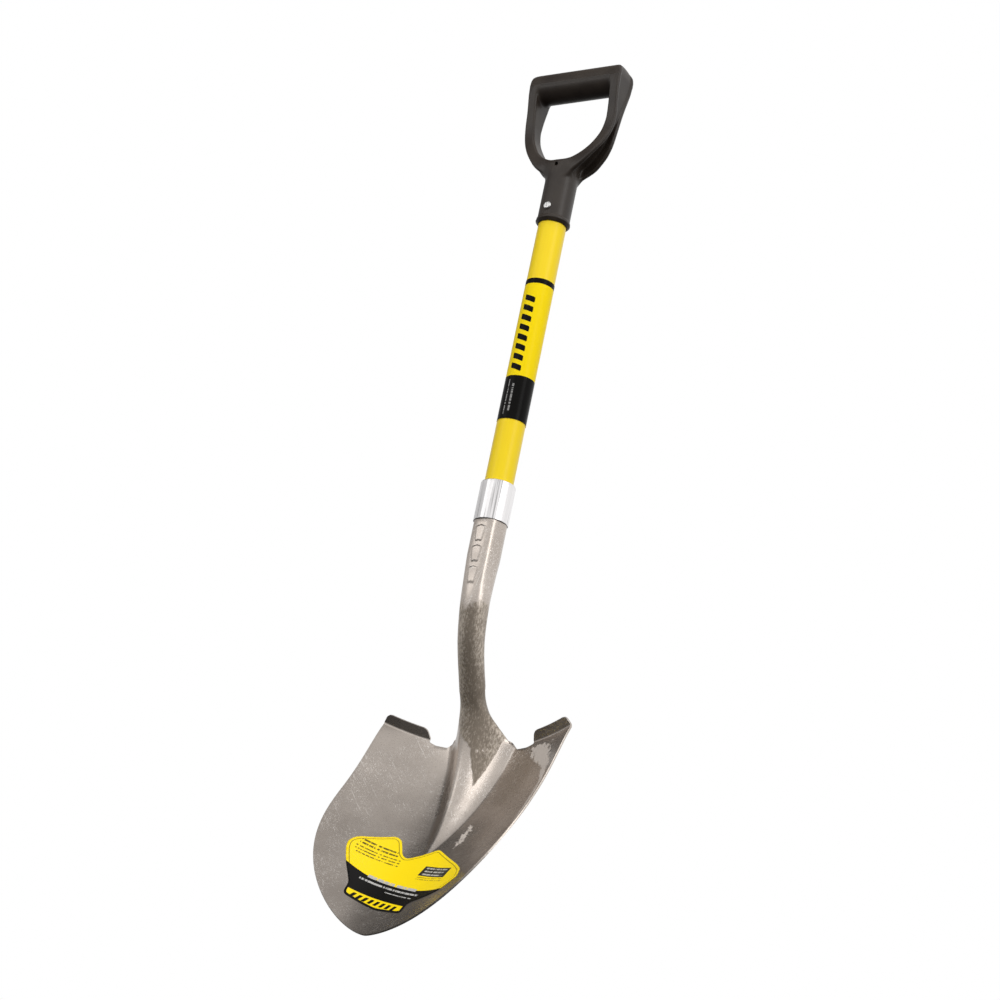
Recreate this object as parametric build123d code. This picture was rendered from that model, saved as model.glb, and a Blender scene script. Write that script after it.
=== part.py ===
from build123d import *
import math
import os

# Round point shovel with a straight tube handle and a D-grip.
# Millimetres. +Z points up along the handle, -Y is the way the scoop faces, and +X is to the right
# when the scoop is faced. Heights below are from a datum under the grip's cross bar; the finished
# pieces are moved down by BAR_RISE, so that the middle of the bar becomes the origin.

# ---------------------------------------------------------------- driving dimensions
HANDLE_D = 31.75             # 1 1/4 inch fibreglass tube
HANDLE_WALL = 3.2
HANDLE_TOP = -118.0
HANDLE_BOTTOM = -572.0

BAR_RISE = 5.9               # the bar's centre line above the datum
GRIP_BAR_R = 17.3
GRIP_HALF_WIDTH = 59.5
GRIP_PLATE = 5.5             # thickness of the front and rear webs
GRIP_SOCKET_R = 18.5
GRIP_RIM_R = 19.4
GRIP_RIM_LOW_R = 16.6        # the rim's underside tapers in to this
GRIP_RIM_Z = -178.5
GRIP_BORE_CLEARANCE = 0.1
RIVET_Z = -160.0
RIVET_R = 2.4
RIVET_HOLE_R = 2.5
RIVET_HEAD_R = 4.6

LABEL_TOP = -251.0
LABEL_BOTTOM = -423.0
FILM_GAP = 0.15
FILM = 0.25

FERRULE_TOP = -496.0
FERRULE_BOTTOM = -541.5
FERRULE_R = 19.15
FERRULE_WALL = 0.8

SHEET = 2.0                  # 14 gauge steel
SOCKET_R = 18.15
SOCKET_TOP = FERRULE_TOP - 0.5
SOCKET_END = -576.0          # where the straight socket runs into the neck
SOCKET_SEAM = 2.4
SOCKET_RIVET_Z = -557.0

BLADE_TOP = Vector(0, 72, -757)
BLADE_LENGTH = 290.0
BLADE_HALF_WIDTH = 120.5
BLADE_LIFT = math.radians(29)
BOWL_DEPTH = 21.0            # how far the middle line bows back
FROG_LENGTH = 168.0
FROG_HALF_WIDTH = 46.0
FROG_HEIGHT = 56.0
STEP_HEIGHT = 13.0
STEP_INNER_X = 66.0

DOWN = Vector(0, -math.sin(BLADE_LIFT), -math.cos(BLADE_LIFT))      # along the blade to its tip
FRONT = Vector(0, -math.cos(BLADE_LIFT), math.sin(BLADE_LIFT))      # out of the blade's front
ACROSS = Vector(1, 0, 0)


def ring(outer_r, inner_r, low_z, high_z):
    """A round tube on the handle's axis."""
    height = high_z - low_z
    middle = Pos(0, 0, (low_z + high_z) / 2)
    return middle * (Cylinder(outer_r, height) - Cylinder(inner_r, height + 1))


def cross_pin(radius, front_y, back_y, z):
    """A round bar from front to back through the handle's axis."""
    middle = Pos(0, (front_y + back_y) / 2, z)
    return middle * Rot(90, 0, 0) * Cylinder(radius, abs(back_y - front_y))


# ---------------------------------------------------------------- grip
def mirrored_face(half_points, tangents=()):
    """A face in the XZ plane whose right half follows a smooth curve, closed by its mirror image."""
    sides = []
    for sign in (1, -1):
        ends = [(sign * x, y, z) for x, y, z in tangents]
        sides.append(Spline(*[(sign * x, 0, z) for x, z in half_points], tangents=ends))
    right, left = sides
    edges = [right, left, Line(left @ 0, right @ 0)]
    if half_points[-1][0] > 0:
        edges.append(Line(left @ 1, right @ 1))
    return Face(Wire(edges))


def slab(face, front_y, back_y):
    """A face in the XZ plane given depth from front_y to back_y."""
    return Pos(0, front_y, 0) * extrude(face, amount=back_y - front_y, dir=(0, 1, 0))


def side_profile(half_depths, cap_r):
    """A face in the YZ plane: an arched top over a smooth waist, closed straight across below."""
    front = Spline(*[(0, -y, z) for y, z in half_depths])
    rear = Spline(*[(0, y, z) for y, z in half_depths])
    cap = ThreePointArc(front @ 0, (0, 0, half_depths[0][1] + cap_r), rear @ 0)
    return Face(Wire([front, cap, rear, Line(front @ 1, rear @ 1)]))


def make_grip_frame():
    """Two webs joined by a narrower belt, thin at the waist, around the opening for the fingers."""
    width = GRIP_HALF_WIDTH
    top = BAR_RISE + GRIP_BAR_R
    outline = [(width - 2.5, top), (width, top - 5), (width, 2), (width - 0.3, -24),
               (width, -46), (width - 2.7, -65), (width - 9.3, -80), (40, -95), (31.5, -105),
               (21, -113), (13, -119)]
    belt = [(width - 6, top), (width - 2.8, top - 7), (width - 2.5, 2), (width - 3, -24),
            (width - 4, -46), (width - 8.5, -65), (width - 17, -81), (31, -95), (12, -109)]
    opening = [(48.5, 0), (48.3, -20), (47.5, -42), (44, -62), (36.5, -77), (25.5, -89.5),
               (13, -97), (0, -99.2)]
    waist = [(GRIP_BAR_R, BAR_RISE), (15.8, -8), (12.8, -24), (9.6, -44), (9.0, -60), (10.8, -77),
             (13.6, -92), (14.6, -104), (13.0, -122)]
    half_span = 70

    solid_frame = slab(mirrored_face(outline), -30, 30)
    depth_mask = Pos(-half_span, 0, 0) * extrude(side_profile(waist, GRIP_BAR_R), amount=2 * half_span,
                                                 dir=(1, 0, 0))
    inner_waist = [(y - GRIP_PLATE, z) for y, z in waist]
    channel_mask = Pos(-half_span, 0, 0) * extrude(
        side_profile(inner_waist, GRIP_BAR_R - GRIP_PLATE), amount=2 * half_span, dir=(1, 0, 0))
    channel = (solid_frame - slab(mirrored_face(belt), -31, 31)) & channel_mask
    gap_face = mirrored_face(opening, tangents=[(0, 0, -1), (-1, 0, 0)])
    bar = Pos(0, 0, BAR_RISE) * Rot(0, 90, 0) * Cylinder(GRIP_BAR_R, 2 * half_span)
    return (solid_frame & depth_mask) - channel - (slab(gap_face, -35, 35) - bar)


def make_grip():
    socket_top = -102.0
    socket = Pos(0, 0, (GRIP_RIM_Z + socket_top) / 2) * Cylinder(GRIP_SOCKET_R, socket_top - GRIP_RIM_Z)
    lip_height = 3.6
    taper_height = 3.4
    lip = Pos(0, 0, GRIP_RIM_Z + taper_height + lip_height / 2) * Cylinder(GRIP_RIM_R, lip_height)
    lip = fillet(lip.edges().filter_by(GeomType.CIRCLE).sort_by(Axis.Z)[-1], 0.8)
    taper = Pos(0, 0, GRIP_RIM_Z + taper_height / 2) * Cone(GRIP_RIM_LOW_R, GRIP_RIM_R, taper_height)
    body = make_grip_frame() + socket + lip + taper

    bore_r = HANDLE_D / 2 + GRIP_BORE_CLEARANCE
    bore_top = HANDLE_TOP + 0.5
    body -= Pos(0, 0, (GRIP_RIM_Z - 1 + bore_top) / 2) * Cylinder(bore_r, bore_top - GRIP_RIM_Z + 1)
    body -= cross_pin(RIVET_HOLE_R, -30, 30, RIVET_Z)
    recess_r = RIVET_HEAD_R + 1.0
    for side in (-1, 1):
        body -= cross_pin(recess_r, side * 17.4, side * 25, RIVET_Z)
    vent_r = 2.3
    body -= cross_pin(vent_r, -25, -10, -106)
    return body


def make_grip_rivet():
    shank = cross_pin(RIVET_R, -17.5, 17.5, RIVET_Z)
    rivet = shank
    dome_rise = 2.0
    for side in (-1, 1):
        head = Cylinder(RIVET_HEAD_R, dome_rise)
        head = fillet(head.faces().sort_by(Axis.Z)[-1].edges(), dome_rise * 0.8)
        rivet += Pos(0, side * (17.5 + dome_rise / 2), RIVET_Z) * Rot(-90 * side, 0, 0) * head
    return rivet


# ---------------------------------------------------------------- handle
def make_handle_tube():
    tube = ring(HANDLE_D / 2, HANDLE_D / 2 - HANDLE_WALL, HANDLE_BOTTOM, HANDLE_TOP)
    tube -= cross_pin(RIVET_HOLE_R, -30, 30, RIVET_Z)
    tube -= cross_pin(RIVET_HOLE_R, 0, 30, SOCKET_RIVET_Z)
    return tube


def make_handle_core():
    core_r = HANDLE_D / 2 - HANDLE_WALL - 0.1
    height = HANDLE_TOP - HANDLE_BOTTOM
    core = Pos(0, 0, (HANDLE_TOP + HANDLE_BOTTOM) / 2) * Cylinder(core_r, height)
    core -= cross_pin(RIVET_HOLE_R, -30, 30, RIVET_Z)
    core -= cross_pin(RIVET_HOLE_R, -4, 30, SOCKET_RIVET_Z)
    return core


def make_handle_label():
    inner_r = HANDLE_D / 2 + FILM_GAP
    return ring(inner_r + FILM, inner_r, LABEL_BOTTOM, LABEL_TOP)


def make_ferrule():
    ferrule = ring(FERRULE_R, FERRULE_R - FERRULE_WALL, FERRULE_BOTTOM, FERRULE_TOP)
    outer_edges = [edge for edge in ferrule.edges().filter_by(GeomType.CIRCLE)
                   if edge.radius > FERRULE_R - 0.01]
    return fillet(outer_edges, 0.35)


# ---------------------------------------------------------------- blade surface
def frog_share(s):
    """1 at the top of the blade, 0 at the frog's tip and below it."""
    return max(0.0, 1 - max(s, 0.0) / FROG_LENGTH)


def blade_height(x, s):
    """Height of the blade's front face over its middle chord, s along the blade from its top."""
    u = s / BLADE_LENGTH
    bow = BOWL_DEPTH * 6.75 * u * (1 - u) ** 2
    wing_rise = 43 - 19 * math.exp(-s / 30)
    height = wing_rise * (abs(x) / 118) ** 2.2 - bow
    share = frog_share(s)
    if share > 0:
        across = abs(x) / (FROG_HALF_WIDTH * share ** 0.8)
        if across < 1:
            height += FROG_HEIGHT * share ** 1.5 * math.cos(math.pi * across / 2) ** 2
    return height


def blade_point(x, s, height):
    return BLADE_TOP + ACROSS * x + DOWN * s + FRONT * height


def across_stations(s, reach):
    """Places across the blade, closer together over the frog."""
    frog_half = max(FROG_HALF_WIDTH * frog_share(s) ** 0.8, 12.0)
    over_frog = [frog_half * k / 5 for k in range(1, 6)]
    wing = [frog_half + (reach - frog_half) * k / 5 for k in range(1, 6)]
    half = over_frog + wing
    return [-x for x in reversed(half)] + [0.0] + half


def offset_point(x, s, offset):
    """A point at a distance from the blade's front face, measured in its cross-section."""
    step = 0.05
    slope = (blade_height(x + step, s) - blade_height(x - step, s)) / (2 * step)
    scale = math.hypot(1, slope)
    return blade_point(x - slope / scale * offset, s, blade_height(x, s) + offset / scale)


def blade_skin(offset, stations):
    reach = BLADE_HALF_WIDTH + 4
    rows = [Wire([Spline(*[offset_point(x, s, offset) for x in across_stations(s, reach)])])
            for s in stations]
    return Shell.make_loft(rows).faces()[0]


def blade_sheet(low, high, top, bottom, rows):
    """A curved sheet between two offsets from the blade's front face."""
    stations = [top + (bottom - top) * k / (rows - 1) for k in range(rows)]
    front = blade_skin(high, stations)
    back = blade_skin(low, stations)
    sides = []
    for edge in front.edges():
        partner = min(back.edges(), key=lambda other: (other @ 0.5 - edge @ 0.5).length)
        sides.append(Face.make_surface_from_curves(edge, partner))
    return Solid(Shell([front, back] + sides))


def half_width(s):
    """Half width of the blade: nearly parallel sides, then a round point."""
    straight_end = 110.0
    if s <= straight_end:
        return BLADE_HALF_WIDTH - 1.8 * (1 - s / straight_end)
    k = (s - straight_end) / (BLADE_LENGTH - straight_end)
    return BLADE_HALF_WIDTH * max(0.0, 1 - k ** 2.4) ** 0.7


def blade_prism(edges, front_reach=90, back_reach=60):
    """A closed outline, drawn on the blade's chord plane, given depth through the blade."""
    face = Face(Wire(edges))
    return (Pos(*(FRONT * -back_reach)) * extrude(face, amount=front_reach + back_reach, dir=FRONT))


def flat(x, s):
    return blade_point(x, s, 0)


def make_blade():
    sheet = blade_sheet(-SHEET, 0, -2, BLADE_LENGTH + 4, 28)
    side_stations = [6, 60, 110, 140, 170, 200, 230, 258, 278]
    right_side = [flat(half_width(s), s) for s in side_stations]
    left_side = [flat(-half_width(s), s) for s in side_stations]
    tip = flat(0, BLADE_LENGTH)
    side = Spline(*(right_side + [tip] + left_side[::-1]))
    edges = [side]
    for sign in (-1, 1):
        notch = Spline(flat(sign * STEP_INNER_X, 8.5), flat(sign * 58, 14), flat(sign * 46, 14.5),
                       flat(sign * 36, 9), flat(sign * 30, -1))
        edges += [notch, Line(flat(sign * STEP_INNER_X, 8.5), flat(sign * half_width(6), 6))]
    edges.append(Line(flat(-30, -1), flat(30, -1)))
    return sheet & blade_prism(edges)


def make_step(sign):
    """A tread turned forward from the top edge of one wing."""
    inner = blade_point(sign * STEP_INNER_X, 8.5, blade_height(STEP_INNER_X, 8.5))
    outer_x = half_width(6) - 0.3
    outer = blade_point(sign * outer_x, 6, blade_height(outer_x, 6))
    length = (outer - inner).length
    along = (outer - inner).normalized()
    lean = math.radians(34)
    rise = Vector(0, -math.sin(lean), math.cos(lean))
    rise = (rise - along * rise.dot(along)).normalized()
    root = -1.2
    profile = [(0, root), (0, 3), (4, STEP_HEIGHT), (length - 10, STEP_HEIGHT),
               (length, STEP_HEIGHT - 6.5), (length, root)]
    corners = [inner + along * a + rise * b for a, b in profile]
    away = along.cross(rise) * -sign
    plate = extrude(Face(Wire.make_polygon(corners, close=True)), amount=SHEET, dir=away)
    bend_r = SHEET * 0.62
    centre = (inner + outer) * 0.5 + (away - FRONT) * 0.5
    bend = Plane(origin=centre, z_dir=along) * Cylinder(bend_r, length - 1.0)
    return plate + bend


# ---------------------------------------------------------------- neck and socket
# Middle line of the neck as (y, z, radius), from the end of the straight socket into the frog.
NECK = [(0, SOCKET_END, SOCKET_R), (0, SOCKET_END - 8, 18.0), (0.1, -603, 17.0), (1.5, -632, 15.7),
        (6.7, -664, 14.6), (13.5, -685, 14.1), (23, -706, 13.9), (34.5, -728, 14.6),
        (45, -746, 16.2), (52, -758, 17.6)]


def neck_direction(index):
    low = NECK[max(index - 1, 0)]
    high = NECK[min(index + 1, len(NECK) - 1)]
    if index == 0:
        return Vector(0, 0, -1)
    return Vector(0, high[0] - low[0], high[1] - low[1]).normalized()


def neck_solid(inset):
    """The socket and neck as a solid bar, smaller by inset all round."""
    circles = []
    for index, (y, z, radius) in enumerate(NECK):
        place = Plane(origin=(0, y, z), x_dir=(1, 0, 0), z_dir=neck_direction(index))
        circles.append(place * Wire.make_circle(radius - inset))
    length = SOCKET_TOP - SOCKET_END
    socket = Pos(0, 0, SOCKET_END + length / 2) * Cylinder(SOCKET_R - inset, length)
    return socket + Solid.make_loft(circles)


def seam_cutter():
    """The open back of the neck: a narrow seam at the socket that widens down to the blade."""
    gap = SOCKET_SEAM / 2
    right = [(gap, -480), (gap, -600), (5, -680), (11, -735), (15, -765), (15, -800)]
    wedge = Wire.make_polygon([(x, -20, z) for x, z in right] +
                              [(-x, -20, z) for x, z in reversed(right)], close=True)
    wedge = extrude(Face(wedge), amount=140, dir=(0, 1, 0))
    middle = [(0, y, z) for y, z, _ in NECK]
    behind = Wire.make_polygon([(0, 0, -480)] + middle + [(0, 62, -800), (0, 110, -800), (0, 110, -480)],
                               close=True)
    behind = Pos(-30, 0, 0) * extrude(Face(behind), amount=60, dir=(1, 0, 0))
    return wedge & behind


def make_head():
    head = make_blade()
    for sign in (-1, 1):
        head += make_step(sign)
    head += neck_solid(0)
    head -= neck_solid(SHEET)
    head -= seam_cutter()
    head -= cross_pin(RIVET_HOLE_R, 10, 30, SOCKET_RIVET_Z)
    return head


def make_socket_rivet():
    shank = cross_pin(RIVET_R, -3.5, 18.4, SOCKET_RIVET_Z)
    dome_rise = 1.8
    head = Cylinder(RIVET_HEAD_R, dome_rise)
    head = fillet(head.faces().sort_by(Axis.Z)[-1].edges(), dome_rise * 0.8)
    return shank + Pos(0, 18.4 + dome_rise / 2, SOCKET_RIVET_Z) * Rot(-90, 0, 0) * head


# ---------------------------------------------------------------- blade label
def make_blade_label():
    """A die-cut film on the blade's front, with a notch that clears the frog's tip."""
    sheet = blade_sheet(FILM_GAP, FILM_GAP + FILM, 120, 275, 16)
    outline = [(-82, 178), (-85, 167), (-80, 157), (-46, 141), (-38, 145), (-33, 154), (-26, 166),
               (-18, 172), (-1, 163), (12, 153), (53, 183), (67, 196), (73, 212), (58, 229), (27, 243),
               (26, 259), (-9, 255), (-53, 239), (-55, 223), (-72, 197)]
    face = Face(Wire.make_polygon([flat(x, s) for x, s in outline], close=True))
    corner = 3.0
    face = fillet(face.vertices(), corner)
    prism = Pos(*(FRONT * -60)) * extrude(face, amount=150, dir=FRONT)
    return sheet & prism


pieces = {
    "grip": make_grip(),
    "grip_rivet": make_grip_rivet(),
    "handle_tube": make_handle_tube(),
    "handle_core": make_handle_core(),
    "handle_label": make_handle_label(),
    "ferrule": make_ferrule(),
    "head": make_head(),
    "socket_rivet": make_socket_rivet(),
    "blade_label": make_blade_label(),
}

os.makedirs("parts", exist_ok=True)
for name, piece in pieces.items():
    piece = Pos(0, 0, -BAR_RISE) * piece
    export_step(piece, f"parts/{name}.step")
    print(name, round(piece.volume), len(piece.solids()))
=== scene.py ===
import math

import bmesh
import bpy
import numpy as np
from mathutils import Matrix, Vector


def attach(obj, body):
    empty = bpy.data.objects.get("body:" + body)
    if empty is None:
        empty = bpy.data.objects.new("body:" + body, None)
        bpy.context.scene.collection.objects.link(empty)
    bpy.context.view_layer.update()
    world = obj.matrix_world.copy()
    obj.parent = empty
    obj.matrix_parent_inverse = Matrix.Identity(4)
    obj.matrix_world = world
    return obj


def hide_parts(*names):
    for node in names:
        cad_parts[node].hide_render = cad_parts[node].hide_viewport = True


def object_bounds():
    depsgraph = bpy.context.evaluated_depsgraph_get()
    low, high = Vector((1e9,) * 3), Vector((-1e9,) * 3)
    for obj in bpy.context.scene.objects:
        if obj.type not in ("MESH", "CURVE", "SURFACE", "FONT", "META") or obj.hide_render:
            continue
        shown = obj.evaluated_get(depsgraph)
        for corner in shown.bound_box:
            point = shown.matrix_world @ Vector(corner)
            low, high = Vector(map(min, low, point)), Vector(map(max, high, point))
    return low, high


# Round point shovel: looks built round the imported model. Sizes below are millimetres in the row's frame
# unless a name ends in _m; meshes are scaled to metres when they are made.
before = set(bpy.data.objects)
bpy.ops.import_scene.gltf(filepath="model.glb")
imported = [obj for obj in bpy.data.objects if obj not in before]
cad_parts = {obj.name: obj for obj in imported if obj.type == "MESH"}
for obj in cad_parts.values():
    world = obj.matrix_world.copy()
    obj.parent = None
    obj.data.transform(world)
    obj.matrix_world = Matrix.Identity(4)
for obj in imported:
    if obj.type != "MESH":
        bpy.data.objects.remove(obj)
cad_low, cad_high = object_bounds()
MM = 0.001
WELD_GAP = 0.02
SHORTEST_EDGE = 0.001
BOX_MARGIN = 0.02
# Heights in this script are from the CAD's datum; the pieces stand this much lower, with the middle
# of the grip's bar as the origin.
BAR_RISE = 5.9


# ======== curves and grids
def smooth_path(points, count):
    """Even samples of a Catmull-Rom curve through points."""
    points = np.array(points, float)
    padded = np.vstack([2 * points[0] - points[1], points, 2 * points[-1] - points[-2]])
    at = np.linspace(0, len(points) - 1, count)
    leg = np.minimum(at.astype(int), len(points) - 2)
    t = (at - leg)[:, None]
    before, start, end, after = (padded[leg + k] for k in range(4))
    return 0.5 * (2 * start + (end - before) * t + (2 * before - 5 * start + 4 * end - after) * t ** 2
                  + (3 * start - before - 3 * end + after) * t ** 3)


def smooth_step(value, low, high):
    t = np.clip((value - low) / (high - low), 0, 1)
    return t * t * (3 - 2 * t)


def soft_min(a, b, width):
    """The lower of two values, with the crossing rounded over a width."""
    t = np.clip(0.5 + 0.5 * (b - a) / width, 0, 1)
    return b * (1 - t) + a * t - width * t * (1 - t)


def soft_max(a, b, width):
    return -soft_min(-a, -b, width)


def unit(vectors):
    return vectors / np.linalg.norm(vectors, axis=-1, keepdims=True)


def grid_quads(rows, columns, start=0, wrap=False):
    """Quads of a grid whose first point has the number start."""
    quads = []
    for i in range(rows - 1):
        for j in range(columns if wrap else columns - 1):
            k = (j + 1) % columns
            quads.append((start + i * columns + j, start + i * columns + k,
                          start + (i + 1) * columns + k, start + (i + 1) * columns + j))
    return quads


def make_object(name, points, faces, material):
    """A mesh from millimetre points, riding on the one body."""
    mesh = bpy.data.meshes.new(name)
    places = (np.asarray(points, float) - np.array((0.0, 0.0, BAR_RISE))) * MM
    mesh.from_pydata([tuple(p) for p in places], [], faces)
    mesh.validate()
    mesh.shade_smooth()
    piece = bpy.data.objects.new(name, mesh)
    bpy.context.collection.objects.link(piece)
    mesh.materials.append(material)
    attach(piece, "root")
    return piece


def weld(piece):
    """Joins the points that fall together where two grids meet."""
    mesh = piece.data
    work = bmesh.new()
    work.from_mesh(mesh)
    bmesh.ops.remove_doubles(work, verts=work.verts, dist=WELD_GAP * MM)
    bmesh.ops.dissolve_degenerate(work, edges=work.edges, dist=SHORTEST_EDGE * MM)
    work.to_mesh(mesh)
    work.free()


def apply_modifiers(piece):
    """Puts the result of a piece's modifiers into its own mesh."""
    graph = bpy.context.evaluated_depsgraph_get()
    done = bpy.data.meshes.new_from_object(piece.evaluated_get(graph), depsgraph=graph)
    piece.modifiers.clear()
    piece.data = done


def keep_in_box(piece):
    """Holds the outermost points, a fraction of a millimetre over, inside the CAD's box."""
    places = np.array([v.co for v in piece.data.vertices])
    margin = BOX_MARGIN * MM
    places = np.clip(places, np.array(cad_low) + margin, np.array(cad_high) - margin)
    piece.data.vertices.foreach_set("co", places.astype(np.float32).ravel())
    piece.data.update()


# ======== material nodes
# The sticker's UV map keeps its two coordinates in millimetres, from -500 to 500, as 0 to 1.
UV_SPAN = 1000.0
UV_MIDDLE = 500.0


class Field:
    """A number that a material's nodes work out at each point of a surface."""

    def __init__(self, tree, socket):
        self.tree = tree
        self.socket = socket

    def apply(self, operation, *others, clamp=False):
        node = self.tree.nodes.new("ShaderNodeMath")
        node.operation = operation
        node.use_clamp = clamp
        for slot, value in zip(node.inputs, (self,) + others):
            if isinstance(value, Field):
                self.tree.links.new(value.socket, slot)
            else:
                slot.default_value = value
        return Field(self.tree, node.outputs[0])

    def __add__(self, other):
        return self.apply("ADD", other)

    def __sub__(self, other):
        return self.apply("SUBTRACT", other)

    def __mul__(self, other):
        return self.apply("MULTIPLY", other)

    def __pow__(self, other):
        return self.apply("POWER", other)

    def size(self):
        return self.apply("ABSOLUTE")

    def most(self, other):
        return self.apply("MAXIMUM", other)

    def least(self, other):
        return self.apply("MINIMUM", other)

    def ramp(self, low, high):
        """Runs from 0 to 1, smoothly, as the number goes from low to high."""
        node = self.tree.nodes.new("ShaderNodeMapRange")
        node.interpolation_type = "SMOOTHSTEP"
        self.tree.links.new(self.socket, node.inputs["Value"])
        node.inputs["From Min"].default_value = low
        node.inputs["From Max"].default_value = high
        return Field(self.tree, node.outputs["Result"])

    def inside(self, soft=0.22):
        """1 where a distance is negative, 0 outside, soft over a short way."""
        return (self * (-1 / soft)).apply("ADD", 0.5, clamp=True)


class Finish:
    """A material, with short ways to its nodes."""

    def __init__(self, name, roughness, metallic=0.0, **constants):
        self.material = bpy.data.materials.new(name)
        self.material.use_nodes = True
        self.tree = self.material.node_tree
        self.shader = self.tree.nodes["Principled BSDF"]
        self.shader.inputs["Metallic"].default_value = metallic
        self.shader.inputs["Roughness"].default_value = roughness
        for key, value in constants.items():
            self.shader.inputs[key.replace("_", " ")].default_value = value

    def node(self, kind):
        return self.tree.nodes.new(kind)

    def link(self, source, target):
        self.tree.links.new(source, target)

    def place(self, scale=(1, 1, 1), turn=(0, 0, 0)):
        """Object coordinates in metres, turned and scaled."""
        coordinates = self.node("ShaderNodeTexCoord")
        turned = self.node("ShaderNodeMapping")
        turned.vector_type = "POINT"
        turned.inputs["Rotation"].default_value = turn
        self.link(coordinates.outputs["Object"], turned.inputs["Vector"])
        scaled = self.node("ShaderNodeMapping")
        scaled.inputs["Scale"].default_value = scale
        self.link(turned.outputs["Vector"], scaled.inputs["Vector"])
        return scaled.outputs["Vector"]

    def axes(self):
        """Object x, y and height above the datum, in millimetres."""
        parts = self.node("ShaderNodeSeparateXYZ")
        self.link(self.place((1 / MM, 1 / MM, 1 / MM)), parts.inputs[0])
        x, y, z = (Field(self.tree, parts.outputs[k]) for k in range(3))
        return x, y, z + BAR_RISE

    def sheet_axes(self):
        """The two coordinates kept in the UV map, in millimetres."""
        uv = self.node("ShaderNodeUVMap")
        uv.uv_map = "sheet"
        parts = self.node("ShaderNodeSeparateXYZ")
        self.link(uv.outputs["UV"], parts.inputs[0])
        return [Field(self.tree, parts.outputs[k]) * UV_SPAN - UV_MIDDLE for k in range(2)]

    def attribute(self, name):
        node = self.node("ShaderNodeAttribute")
        node.attribute_name = name
        return Field(self.tree, node.outputs["Fac"])

    def noise(self, scale, detail, rough, vector=None):
        node = self.node("ShaderNodeTexNoise")
        node.inputs["Scale"].default_value = scale
        node.inputs["Detail"].default_value = detail
        node.inputs["Roughness"].default_value = rough
        self.link(vector or self.place(), node.inputs["Vector"])
        return Field(self.tree, node.outputs[0])

    def mix(self, amount, first, second):
        """first where amount is 0, second where it is 1; each a colour or another mix."""
        node = self.node("ShaderNodeMix")
        node.data_type = "RGBA"
        self.link(amount.socket, node.inputs["Factor"])
        for slot, value in ((node.inputs[6], first), (node.inputs[7], second)):
            if isinstance(value, tuple):
                slot.default_value = (*value, 1.0)
            else:
                self.link(value, slot)
        return node.outputs[2]

    def set_colour(self, value):
        if isinstance(value, tuple):
            self.shader.inputs["Base Color"].default_value = (*value, 1.0)
        else:
            self.link(value, self.shader.inputs["Base Color"])

    def set_roughness(self, field):
        self.link(field.socket, self.shader.inputs["Roughness"])

    def set_metallic(self, field):
        self.link(field.socket, self.shader.inputs["Metallic"])

    def bump(self, field, height_m, strength):
        node = self.node("ShaderNodeBump")
        node.inputs["Strength"].default_value = strength
        node.inputs["Distance"].default_value = height_m
        self.link(field.socket, node.inputs["Height"])
        self.link(node.outputs["Normal"], self.shader.inputs["Normal"])


def block(x, y, centre, half, corner=0.0, slant=0.0):
    """Distance outside a rounded rectangle that leans by slant."""
    px = (x - centre[0]) - (y - centre[1]) * slant
    dx = px.size() - (half[0] - corner)
    dy = (y - centre[1]).size() - (half[1] - corner)
    return (dx.most(0.0) ** 2.0 + dy.most(0.0) ** 2.0).apply("SQRT") + dx.most(dy).least(0.0) - corner


def scratches(finish, turn, along, across, level):
    """Sparse fine lines in one direction, from noise with so many cells per metre along and across."""
    vector = finish.place((along, across, across), (0, turn, 0))
    return finish.noise(1.0, 1.5, 0.5, vector).ramp(level, level + 0.05)


LACQUER_DARK = (0.47, 0.415, 0.37)
LACQUER_LIGHT = (0.60, 0.535, 0.48)
LACQUER_SPECKLE = (0.40, 0.35, 0.31)
SCRATCHED = (0.90, 0.85, 0.80)
SCALE_DARK = (0.215, 0.178, 0.140)
SCALE_LIGHT = (0.66, 0.58, 0.495)
# Pale colour of scuffed lacquer, which also stands in for glints: a painted highlight.
SCUFFED_AND_GLINT = (0.62, 0.555, 0.50)
# Scratches in four directions, each as (turn in radians, cells along, cells across, level).
SCRATCHES = ((0.5, 9, 1000, 0.64), (-0.9, 12, 900, 0.65), (1.35, 7, 1100, 0.64), (-0.2, 14, 1000, 0.66))


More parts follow.
